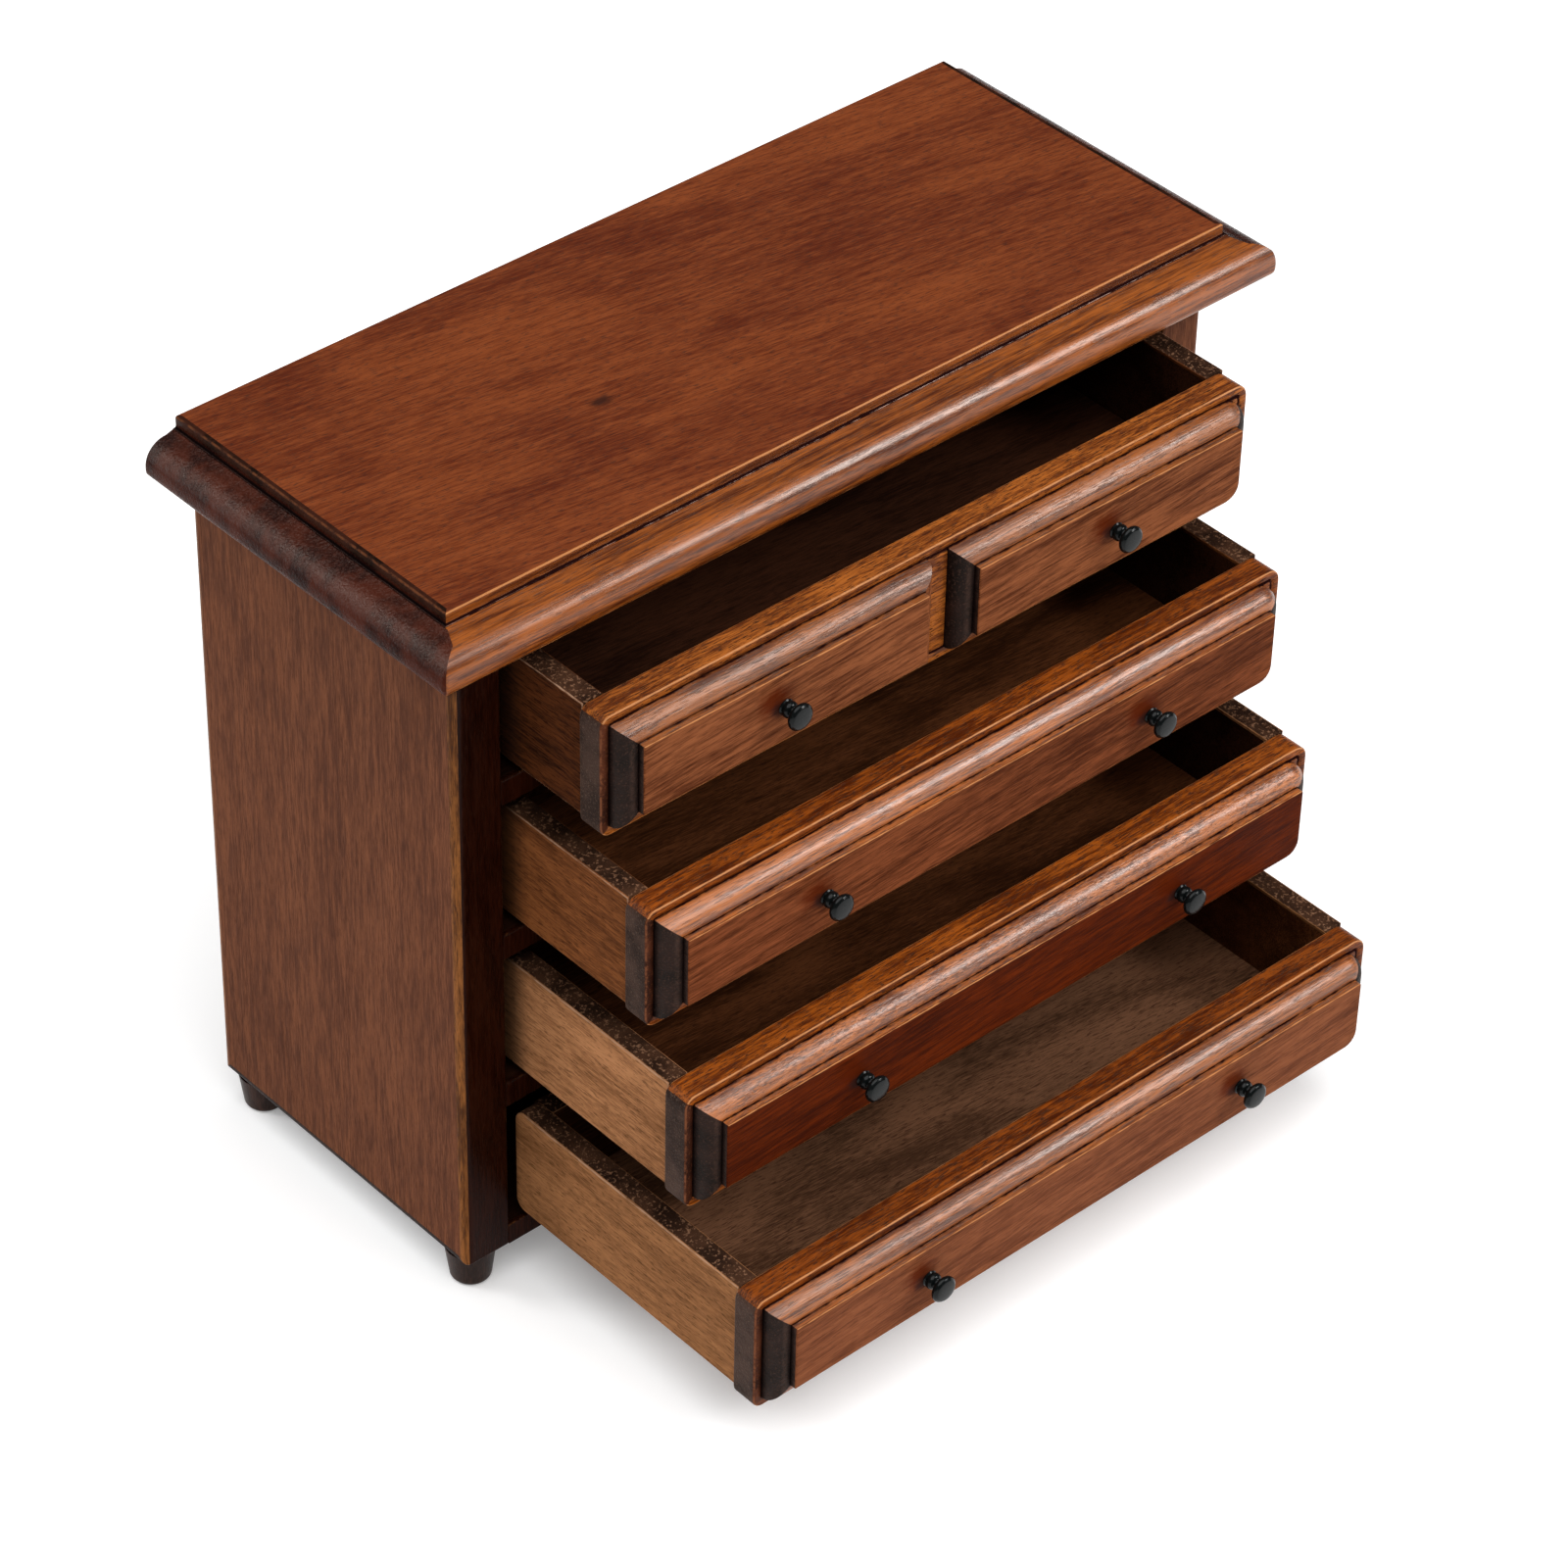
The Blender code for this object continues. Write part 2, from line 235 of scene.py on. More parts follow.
END_GRIME = (0.004, 0.002, 0.002)
END_SHEEN_TINT = (1.0, 0.80, 0.70)


def grain_space(tree, grain, tilt, seed):
    """Object coordinates turned so that the grain runs along X, and moved by seed so that boards differ."""
    place = object_place(tree)
    tilted = node(tree, "ShaderNodeMapping", {"Vector": place, "Rotation": tilt, "Location": SEED_STEP * seed})
    turned = node(tree, "ShaderNodeMapping", {"Vector": tilted.outputs[0], "Rotation": GRAIN_TURN[grain]})
    return turned.outputs[0]


def stretched(tree, vector, along, across):
    """Coordinates in which one unit is that many metres along and across the grain."""
    scale = (1 / along, 1 / across, 1 / across)
    return node(tree, "ShaderNodeMapping", {"Vector": vector, "Scale": scale}).outputs[0]


def ragged(tree, amount, pattern):
    """amount, a painted weight from 0 to 1, with its soft border broken up by a noise."""
    shifted = maths(tree, "ADD", amount, maths(tree, "MULTIPLY", pattern, RAGGED_NOISE))
    return ramp(tree, shifted, RAGGED_START, RAGGED_END)


def stain_and_shadow_spots(tree, spots, colour):
    """Tints the wood round each stain or painted knob shadow: (centre, radii, tint). A radius of 0 leaves its axis
    out.
    """
    place = object_place(tree)
    for centre, radii, tint in spots:
        scale = [1 / radius if radius else 0.0 for radius in radii]
        shift = [-along * factor for along, factor in zip(centre, scale)]
        scaled = node(tree, "ShaderNodeMapping", {"Vector": place, "Location": shift, "Scale": scale}).outputs[0]
        distance = node(tree, "ShaderNodeVectorMath", {0: scaled}, operation="LENGTH").outputs["Value"]
        border = maths(tree, "ADD", distance, noise(tree, stretched(tree, place, 1.2 * MM, 0.4 * MM)))
        share = ramp(tree, border, STAIN_AND_SHADOW_FADE_START, STAIN_AND_SHADOW_FADE_END, STAIN_AND_SHADOW_STRENGTH, 0.0)
        colour = mix(tree, share, colour, rgba(tint))
    return colour


def upward_share(tree, low, high, least):
    """1 on surfaces that face upwards, least on those that face down: these are dull. low and high are the normal's
    Z where the change starts and ends.
    """
    facing = node(tree, "ShaderNodeNewGeometry").outputs["Normal"]
    upwards = node(tree, "ShaderNodeSeparateXYZ", {"Vector": facing}).outputs["Z"]
    return ramp(tree, upwards, low, high, least, 1.0)


def paint_shade_behind(tree, y, pattern, colour):
    """Painted shade: the part of a board behind this Y, which the case shades, is painted darker."""
    place = object_place(tree)
    along = node(tree, "ShaderNodeSeparateXYZ", {"Vector": place}).outputs["Y"]
    shifted = maths(tree, "ADD", along, maths(tree, "MULTIPLY", pattern, PAINTED_SHADE_NOISE))
    share = ramp(tree, shifted, y - PAINTED_SHADE_BORDER, y + PAINTED_SHADE_BORDER, 0.0, PAINTED_SHADE_STRENGTH)
    return mix(tree, share, colour, rgba(PAINTED_SHADE_COLOUR))


def wood(
    name,
    dark,
    light,
    seed,
    specular,
    rough,
    grain="X",
    tilt=(0, 0, 0),
    figure=0.5,
    pores=0.5,
    pore_colour=(0.025, 0.008, 0.004),
    bump=0.5,
    coat=0.1,
    worn=(0.42, 0.17, 0.06),
    spots=(),
    painted_shade_from=None,
    dents=0.0,
    contrast=1.0,
    sheen_tint=(1.0, 1.0, 1.0),
    length=1.0,
):
    """Stained and varnished wood: broad bands, fine grain and dark pores along it, and worn and grimy edges.
    figure is the share of the broad bands, pores, specular and coat are strengths, and length draws the grain out
    along the board. Behind painted_shade_from, a Y, the board is painted darker: painted shade where the case shades
    it.
    """
    material, tree, shader = new_material(name)
    space = grain_space(tree, grain, tilt, seed)
    broad = noise(tree, stretched(tree, space, 22 * MM, 6 * MM), 3, 0.5, 0.6)
    band = noise(tree, stretched(tree, space, 6 * length * MM, 0.55 * MM), 4, 0.6, 0.3)
    fine = noise(tree, stretched(tree, space, 1.6 * length * MM, 0.13 * MM), 3, 0.65)
    pore = noise(tree, stretched(tree, space, 0.85 * length * MM, 0.11 * MM), 2, 0.5)
    streak = noise(tree, stretched(tree, space, 4.5 * length * MM, 0.4 * MM), 3, 0.6, 0.5)

    tone = maths(tree, "ADD", maths(tree, "MULTIPLY", broad, figure), maths(tree, "MULTIPLY", band, 1 - figure))
    tone = maths(tree, "ADD", maths(tree, "MULTIPLY", tone, 0.6), maths(tree, "MULTIPLY", fine, 0.4))
    reach = 0.12 / contrast
    colour = mix(tree, ramp(tree, tone, 0.5 - reach, 0.5 + reach), rgba(dark), rgba(light))
    colour = mix(tree, ramp(tree, streak, 0.54, 0.70, 0.0, 0.5 * pores), colour, rgba(dark))
    pore_share = ramp(tree, pore, 0.56, 0.66, 0.0, pores)
    colour = mix(tree, pore_share, colour, rgba(pore_colour))
    colour = stain_and_shadow_spots(tree, spots, colour)

    broken = noise(tree, stretched(tree, space, 1.6 * MM, 0.35 * MM), 4)
    wear = ragged(tree, attribute(tree, "wear"), broken)
    colour = mix(tree, wear, colour, rgba(worn))
    dirt = ragged(tree, attribute(tree, "grime"), noise(tree, stretched(tree, space, 0.9 * MM, 0.3 * MM), 4))
    colour = mix(tree, dirt, colour, rgba(WOOD_GRIME))
    # Painted shade on the part of the board that the case shades.
    if painted_shade_from is not None:
        colour = paint_shade_behind(tree, painted_shade_from, broken, colour)
    tree.links.new(colour, shader.inputs["Base Color"])

    roughness = ramp(tree, band, 0.3, 0.7, rough - 0.06, rough + 0.08)
    roughness = maths(tree, "ADD", roughness, maths(tree, "MULTIPLY", pore_share, 0.2), clamp=True)
    tree.links.new(roughness, shader.inputs["Roughness"])
    height = maths(tree, "SUBTRACT", fine, maths(tree, "MULTIPLY", pore_share, 0.8))
    if dents:
        wave = noise(tree, stretched(tree, space, 2.4 * length * MM, 0.26 * MM), 3, 0.6)
        height = maths(tree, "ADD", height, maths(tree, "MULTIPLY", wave, dents))
    relief = node(tree, "ShaderNodeBump", {"Height": height, "Strength": bump, "Distance": RELIEF_DEPTH})
    tree.links.new(relief.outputs[0], shader.inputs["Normal"])
    clean = maths(tree, "MULTIPLY", maths(tree, "SUBTRACT", 1.0, dirt), upward_share(tree, -0.1, 0.4, 0.25))
    tree.links.new(maths(tree, "MULTIPLY", clean, specular), shader.inputs["Specular IOR Level"])
    tree.links.new(maths(tree, "MULTIPLY", clean, coat), shader.inputs["Coat Weight"])
    shader.inputs["Coat Roughness"].default_value = COAT_ROUGHNESS
    shader.inputs["Specular Tint"].default_value = rgba(sheen_tint)
    return material


def end_grain(name, dark, light, speck, size, specks, specular, rough=0.55, bump=0.8, pit=0.05, dull_below=False):
    """Cut across the fibres: the same in all directions, dark with stain, pitted and speckled. size is that of a pit
    and pit its depth, in mm. With dull_below, only the surfaces that face upwards are polished.
    """
    material, tree, shader = new_material(name)
    place = object_place(tree)
    broad = noise(tree, stretched(tree, place, 3 * MM, 3 * MM), 3)
    pits = noise(tree, stretched(tree, place, size * MM, size * MM), 3, 0.65)
    lumps = noise(tree, stretched(tree, place, 2.6 * size * MM, 2.6 * size * MM), 3, 0.6)
    colour = mix(tree, ramp(tree, broad, 0.35, 0.65), rgba(dark), rgba(light))
    colour = mix(tree, ramp(tree, pits, 0.53, 0.66, 0.0, specks), colour, rgba(speck))
    wear = maths(tree, "MULTIPLY", attribute(tree, "wear"), ramp(tree, lumps, 0.35, 0.6))
    colour = mix(tree, wear, colour, rgba(speck))
    dirt = attribute(tree, "grime")
    colour = mix(tree, dirt, colour, rgba(END_GRIME))
    tree.links.new(colour, shader.inputs["Base Color"])
    tree.links.new(ramp(tree, pits, 0.3, 0.7, rough - 0.1, rough + 0.15), shader.inputs["Roughness"])
    height = maths(tree, "ADD", pits, lumps)
    relief = node(tree, "ShaderNodeBump", {"Height": height, "Strength": bump, "Distance": pit * MM})
    tree.links.new(relief.outputs[0], shader.inputs["Normal"])
    shader.inputs["Specular Tint"].default_value = rgba(END_SHEEN_TINT)
    shine = maths(tree, "MULTIPLY", maths(tree, "SUBTRACT", 1.0, dirt), specular)
    if dull_below:
        shine = maths(tree, "MULTIPLY", shine, upward_share(tree, 0.25, 0.65, 0.08))
    tree.links.new(shine, shader.inputs["Specular IOR Level"])
    return material


def gloss_black(name):
    """Thick black paint: nearly smooth, with dust and a faint orange peel."""
    material, tree, shader = new_material(name)
    place = object_place(tree)
    dust = noise(tree, stretched(tree, place, 0.12 * MM, 0.12 * MM), 2)
    peel = noise(tree, stretched(tree, place, 0.4 * MM, 0.4 * MM), 2)
    paint, dusty = (0.003, 0.004, 0.004), (0.018, 0.018, 0.017)
    colour = mix(tree, ramp(tree, dust, 0.62, 0.78, 0.0, 0.5), rgba(paint), rgba(dusty))
    tree.links.new(colour, shader.inputs["Base Color"])
    tree.links.new(ramp(tree, dust, 0.4, 0.75, 0.14, 0.30), shader.inputs["Roughness"])
    shader.inputs["Specular IOR Level"].default_value = 0.14
    relief = node(tree, "ShaderNodeBump", {"Height": peel, "Strength": 0.25, "Distance": RELIEF_DEPTH})
    tree.links.new(relief.outputs[0], shader.inputs["Normal"])
    return material


def pale_floor(name):
    """Nearly white paper with a very faint cloud. It glows a little, to be as pale as the backdrop behind it."""
    material, tree, shader = new_material(name)
    place = object_place(tree)
    cloud = noise(tree, stretched(tree, place, 0.3, 0.3), 2)
    colour = mix(tree, cloud, rgba((0.86, 0.86, 0.86)), rgba((0.90, 0.90, 0.90)))
    tree.links.new(colour, shader.inputs["Base Color"])
    shader.inputs["Roughness"].default_value = 0.75
    shader.inputs["Emission Color"].default_value = rgba((1.0, 1.0, 1.0))
    shader.inputs["Emission Strength"].default_value = GROUND_GLOW
    return material


# Materials

# The mouldings' dark and light tone.
GOLD_DARK, GOLD_LIGHT = (0.080, 0.015, 0.002), (0.345, 0.091, 0.009)

# How light each drawer's mouldings are, from the top drawer to the bottom one.
GOLD_SHARES = (0.76, 1.08, 1.04, 0.92)

# How much clear varnish each drawer's mouldings have, how long their grain is and how wavy.
MOULDING_COATS = (0.1, 0.4, 0.35, 0.25)
MOULDING_LENGTHS = (1.8, 1.8, 0.7, 1.8)
MOULDING_WAVES = (1.8, 1.8, 3.0, 1.8)

# How much of the mouldings' red, green and blue each drawer's lip has: the lower lips are a deeper brown.
LIP_SHARES = ((1.02, 1.08, 1.5), (0.72, 0.60, 0.40), (0.84, 0.74, 0.52), (0.58, 0.47, 0.30))

# Outer faces of the drawer sides, dark and light tone, from the top drawer to the bottom one: the upper ones are
# darker, partly from more stain and partly as painted shade of the top board and the drawers above them. Their
# pores have this share of the dark tone.
SIDE_PORES = 0.35
SIDE_STAIN_AND_SHADE_TONES = (
    ((0.018, 0.005, 0.002), (0.092, 0.026, 0.007)),
    ((0.065, 0.020, 0.006), (0.210, 0.070, 0.021)),
    ((0.160, 0.064, 0.023), (0.400, 0.180, 0.078)),
    ((0.130, 0.052, 0.018), (0.310, 0.136, 0.054)),
)

# A red stain behind a knob, and a dark patch to its left that is painted shadow of the knob: how far from its
# middle and the radii in mm, and the tint.
KNOB_STAINS_AND_SHADOWS = (
    ((-1.0, 0.0, 0.9), (2.3, 0.0, 1.9), (0.075, 0.010, 0.002)),
    ((-0.7, 0.0, 0.0), (1.2, 0.0, 1.0), (0.024, 0.009, 0.007)),
)

# A small knot in the top board's field, from the field's front left corner.
KNOT_PLACE = Vector((26.7, 13.6, 0.0)) * MM
KNOT_RADII = Vector((1.5, 0.85, 0.0)) * MM

# Fields of the drawer fronts, from the top drawer to the bottom one: contrast, and dark and light tone.
FIELD_CONTRASTS = (1.0, 1.0, 0.9, 0.9)
FIELD_TILT = math.radians(3.5)
FIELD_TONES = (
    ((0.056, 0.013, 0.004), (0.232, 0.074, 0.027)),
    ((0.050, 0.011, 0.003), (0.198, 0.055, 0.019)),
    ((0.028, 0.004, 0.001), (0.112, 0.016, 0.002)),
    ((0.088, 0.024, 0.009), (0.222, 0.073, 0.030)),
)


def make_materials():
    """The materials that all drawers share, and those of the case and the ground."""
    floor_tilt = (0, 0, math.radians(4))
    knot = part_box("top_board")[0] + Vector((TOP_SIDE_MOULDING, TOP_FRONT_MOULDING, 0.0)) + KNOT_PLACE
    return {
        "top_field": wood(
            "top_field", (0.072, 0.011, 0.003), (0.188, 0.043, 0.010), tilt=(0, 0, math.radians(8)), seed=1.3,
            pores=0.6, rough=0.42, bump=0.35, specular=0.18, worn=(0.40, 0.15, 0.04),
            spots=((knot, KNOT_RADII, (0.024, 0.006, 0.003)),),
        ),
        "top_moulding": wood(
            "top_moulding", (0.060, 0.011, 0.002), (0.285, 0.072, 0.008), seed=2.1, figure=0.3, pores=0.6, rough=0.3,
            specular=0.6, coat=0.3, dents=0.8, contrast=1.2, sheen_tint=(1.0, 0.80, 0.68), length=1.8,
        ),
        "end_moulding": end_grain(
            "end_moulding", (0.014, 0.003, 0.002), (0.054, 0.011, 0.005), (0.10, 0.030, 0.018), size=0.22, rough=0.25,
            bump=1.0, specks=0.3, specular=0.38, pit=0.075, dull_below=True,
        ),
        "end_step": end_grain(
            "end_step", (0.005, 0.002, 0.001), (0.030, 0.008, 0.004), (0.10, 0.03, 0.01), size=0.3, specks=0.12,
            specular=0.1,
        ),
        "panel_face": wood(
            "panel_face", (0.078, 0.026, 0.013), (0.174, 0.062, 0.029), grain="Z", seed=3.7, figure=0.3, pores=0.25,
            rough=0.45, bump=0.3, specular=0.04, coat=0.0,
        ),
        "panel_round": wood(
            "panel_round", (0.060, 0.018, 0.004), (0.270, 0.095, 0.022), grain="Z", seed=4.6, pores=0.5, rough=0.3,
            specular=0.15, coat=0.0,
        ),
        "panel_edge": wood(
            "panel_edge", (0.007, 0.0012, 0.0004), (0.024, 0.0045, 0.0012), grain="Z", seed=4.2, pores=0.2, rough=0.25,
            specular=0.12, coat=0.0, worn=(0.17, 0.06, 0.016),
        ),
        "case_inner": wood(
            "case_inner", (0.008, 0.002, 0.001), (0.026, 0.008, 0.003), seed=5.1, rough=0.5, specular=0.06, coat=0.0,
            worn=(0.10, 0.03, 0.010),
        ),
        "case_back": wood(
            "case_back", (0.050, 0.018, 0.008), (0.120, 0.046, 0.020), seed=5.9, rough=0.55, specular=0.15, coat=0.0,
        ),
        "dark_end": end_grain(
            "dark_end", (0.004, 0.002, 0.0015), (0.016, 0.007, 0.005), (0.07, 0.035, 0.024), size=0.2, specks=0.5,
            specular=0.12, pit=0.06,
        ),
        "lip_end": end_grain(
            "lip_end", (0.020, 0.010, 0.007), (0.052, 0.028, 0.020), (0.15, 0.10, 0.075), size=0.2, specks=0.4,
            rough=0.5, specular=0.05, pit=0.08,
        ),
        "ledge_end": end_grain(
            "ledge_end", (0.020, 0.004, 0.001), (0.075, 0.018, 0.006), (0.17, 0.055, 0.022), size=0.24, specks=0.5,
            specular=0.08, pit=0.07,
        ),
        "sawn": end_grain(
            "sawn", (0.015, 0.006, 0.003), (0.047, 0.020, 0.010), (0.22, 0.112, 0.062), size=0.3, rough=0.75,
            bump=1.0, specks=0.75, specular=0.08, pit=0.16,
        ),
        "floor": wood(
            "floor", (0.034, 0.010, 0.003), (0.140, 0.045, 0.015), tilt=floor_tilt, seed=7.7, figure=0.7, pores=0.6,
            rough=0.6, specular=0.05, coat=0.0,
        ),
        "lit_floor": wood(
            "lit_floor", (0.062, 0.027, 0.013), (0.195, 0.088, 0.045), tilt=floor_tilt, seed=7.1, figure=0.8,
            pores=0.6, rough=0.6, specular=0.04, coat=0.0, contrast=1.3,
        ),
        "shaded_floor": wood(
            "shaded_floor", (0.012, 0.004, 0.002), (0.055, 0.018, 0.008), tilt=floor_tilt, seed=6.4, figure=0.7,
            pores=0.6, rough=0.6, specular=0.05, coat=0.0, worn=(0.14, 0.06, 0.03),
        ),
        "back_board": wood(
            "back_board", (0.026, 0.009, 0.003), (0.085, 0.030, 0.012), seed=8.8, pores=0.6, rough=0.55, specular=0.06,
            coat=0.0, worn=(0.34, 0.17, 0.08),
        ),
        "foot": wood(
            "foot", (0.014, 0.006, 0.004), (0.050, 0.022, 0.015), grain="Z", seed=9.4, rough=0.35, specular=0.3,
            worn=(0.14, 0.07, 0.04),
        ),
        "black_knob": gloss_black("black_knob"),
        "pale_floor": pale_floor("pale_floor"),
    }


def make_drawer_materials(number, materials):
    """Each drawer has its own grain and stain, a red stain round each knob, and the knob's painted shadow beside it.
    """
    spots = []
    for side in ("left", "right"):
        low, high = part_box(f"drawer_{number}_knob_{side}")
        middle = (low + high) / 2
        for shift, radii, tint in KNOB_STAINS_AND_SHADOWS:
            spots.append((middle + Vector(shift) * MM, Vector(radii) * MM, tint))
    dark, light = FIELD_TONES[number - 1]
    materials[f"field_{number}"] = wood(
        f"field_{number}", dark, light, tilt=(0, FIELD_TILT, 0), seed=11.3 + number, figure=0.4, pores=0.32, rough=0.4,
        specular=0.03, coat=0.0, spots=spots, contrast=FIELD_CONTRASTS[number - 1], length=1.5,
    )
    share = GOLD_SHARES[number - 1]
    dark, light = [tuple(share * channel for channel in tone) for tone in (GOLD_DARK, GOLD_LIGHT)]
    materials[f"gold_{number}"] = wood(
        f"gold_{number}", dark, light, seed=17.9 + number, figure=0.3, pores=0.7, rough=0.37, bump=1.0,
        specular=1.0, coat=MOULDING_COATS[number - 1], dents=MOULDING_WAVES[number - 1], contrast=1.35,
        sheen_tint=(1.0, 0.84, 0.74), length=MOULDING_LENGTHS[number - 1],
    )
    shares = LIP_SHARES[number - 1]
    dark, light = [tuple(a * b for a, b in zip(shares, tone)) for tone in (GOLD_DARK, GOLD_LIGHT)]
    materials[f"lip_{number}"] = wood(
        f"lip_{number}", dark, light, seed=31.4 + number, figure=0.3, pores=0.95, pore_colour=(0.032, 0.008, 0.002),
        rough=0.42, bump=1.0, specular=0.3, coat=0.0, dents=1.2, contrast=1.5, sheen_tint=(1.0, 0.70, 0.50),
    )
    # These tones are partly stain and partly painted shade.
    dark, light = SIDE_STAIN_AND_SHADE_TONES[number - 1]
    case_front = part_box("side_panel_left")[0].y
    # Behind the case's front, the upper drawers' sides get painted shade.
    materials[f"side_{number}"] = wood(
        f"side_{number}", dark, light, grain="Y", seed=23.1 + number, pores=0.6,
        pore_colour=tuple(SIDE_PORES * channel for channel in dark), rough=0.62, bump=0.8, specular=0.05, coat=0.0,
        worn=(0.36, 0.21, 0.13), painted_shade_from=None if number == BOTTOM_DRAWER else case_front,
    )


# Mesh helpers


class Row:
    """One ring of a board's outline: how far in it is at the ends, at the front and at the rear, how high it is,
    how worn and grimy, and the slots of the band above it along the board, at its left and at its right.
    end_wear is the share of the wear that the ends get.
    """

    def __init__(self, inset, height, band, wear=0.0, grime=0.0, front=None):
        self.inset = inset
        self.front = inset if front is None else front
        self.rear = inset
        self.height = height
        self.wear = wear
        self.end_wear = 1.0
        self.grime = grime
        self.band = band


def rounded_outline(left, right, low, high, radii):
    """Points around a rectangle. radii are those of the corners high right, high left, low left, low right."""
    corners = (
        (right, high, -1, -1, 0),
        (left, high, 1, -1, math.pi / 2),
        (left, low, 1, 1, math.pi),
        (right, low, -1, 1, 3 * math.pi / 2),
    )
    points = []
    for (x, z, sign_x, sign_z, start), radius in zip(corners, radii):
        centre_x, centre_z = x + sign_x * radius, z + sign_z * radius
        for i in range(CORNER_STEPS + 1):
            a = start + math.pi / 2 * i / CORNER_STEPS
            points.append((centre_x + radius * math.cos(a), centre_z + radius * math.sin(a)))
    return points


def share_along(i):
    """1 for a point of rounded_outline that closes one of its long sides, 0 for one that closes an end."""
    corner, step = divmod(i, CORNER_STEPS + 1)
    return step / CORNER_STEPS if corner % 2 == 0 else 1 - step / CORNER_STEPS


def rectangle(left, right, low, high, corner_radii):
    """A function that gives the outline for any row. Its low side is the front and its high side the rear."""

    def outline(row):
        radii = [max(radius - row.inset, 0.02 * MM) for radius in corner_radii]
        return rounded_outline(left + row.inset, right - row.inset, low + row.front, high - row.rear, radii)

    return outline


def edge_arc(radius, height, rising, wear, band):
    """Rows over an eased edge: from the flat face out to the rim if rising, or back in from the rim."""
    rows = []
    for i in range(EDGE_STEPS + 1):
        a = math.pi / 2 * i / EDGE_STEPS
        inset, up = radius * (1 - math.sin(a)), radius * (1 - math.cos(a))
        worn = wear * math.sin(math.pi * i / EDGE_STEPS)
        rows.append((inset, up, worn))
    if rising:
        return [Row(inset, height + up, band, wear=worn) for inset, up, worn in rows]
    return [Row(inset, height - up, band, wear=worn) for inset, up, worn in reversed(rows)]


def board_rows(thickness, low_edge, high_edge, wear, face, rim):
    """Rows of a flat board: its lower face, an eased edge, the rim, an eased edge and its upper face. wear is that of
    the lower and of the upper edge. Beside each edge, a further row keeps the flat parts flat.
    """
    face, rim = (face,) * 3, (rim,) * 3
    support = 0.2 * MM
    rows = [Row(low_edge + support, 0.0, band=face)]
    rows += edge_arc(low_edge, 0.0, True, wear=wear[0], band=face)
    rows[-1].band = rim
    rows += [Row(0.0, low_edge + support, band=rim), Row(0.0, thickness - high_edge - support, band=rim)]
    rows += edge_arc(high_edge, thickness, False, wear=wear[1], band=face)
    rows.append(Row(high_edge + support, thickness, band=face))
    return rows


def build_rows(bm, outline, rows, place, slots, caps):
    """Adds one closed shell to bm. place turns (u, v, height) into a point. caps name the end faces' slots."""
    wear, grime = bm.verts.layers.float["wear"], bm.verts.layers.float["grime"]
    loops = []
    for row in rows:
        loop = []
        for i, (u, v) in enumerate(outline(row)):
            vert = bm.verts.new(place(u, v, row.height))
            vert[wear] = row.wear * (row.end_wear + (1 - row.end_wear) * share_along(i))
            vert[grime] = row.grime
            loop.append(vert)
        loops.append(loop)
    flat = outline(rows[0])
    count = len(flat)
    middle = (min(point[0] for point in flat) + max(point[0] for point in flat)) / 2
    for row, below, above in zip(rows, loops, loops[1:]):
        for i in range(count):
            j = (i + 1) % count
            face = bm.faces.new((below[i], below[j], above[j], above[i]))
            along = abs(flat[j][0] - flat[i][0]) >= abs(flat[j][1] - flat[i][1])
            side = 0 if along else 1 if flat[i][0] < middle else 2
            face.material_index = slots.index(row.band[side])
            face.smooth = True
    for loop, cap in ((loops[0], caps[0]), (loops[-1], caps[1])):
        face = bm.faces.new(loop)
        face.material_index = slots.index(cap)
        face.smooth = True


def new_bmesh():
    """An empty mesh whose vertices have the weights wear and grime."""
    bm = bmesh.new()
    bm.verts.layers.float.new("wear")
    bm.verts.layers.float.new("grime")
    return bm


def finish_piece(name, bm, materials, body, node_name):
    """Makes the object, which rides on body and stands for the CAD node of that name."""
    bmesh.ops.recalc_face_normals(bm, faces=bm.faces)
    mesh = bpy.data.meshes.new(name)
    bm.to_mesh(mesh)
    bm.free()
    mesh.set_sharp_from_angle(angle=SMOOTH_ANGLE)
    for material in materials:
        mesh.materials.append(material)
    piece = bpy.data.objects.new(name, mesh)
    bpy.context.scene.collection.objects.link(piece)
    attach(piece, body)
    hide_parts(node_name)


def along_x(low):
    """Heights grow from the plane x = low to the right."""
    return lambda u, v, height: (low + height, u, v)


def along_z(low):
    """Heights grow from the plane z = low upwards."""
    return lambda u, v, height: (u, v, low + height)


def towards_front(rear):
    """Heights grow from the plane y = rear to the front."""
    return lambda u, v, height: (u, rear - height, v)


# Case


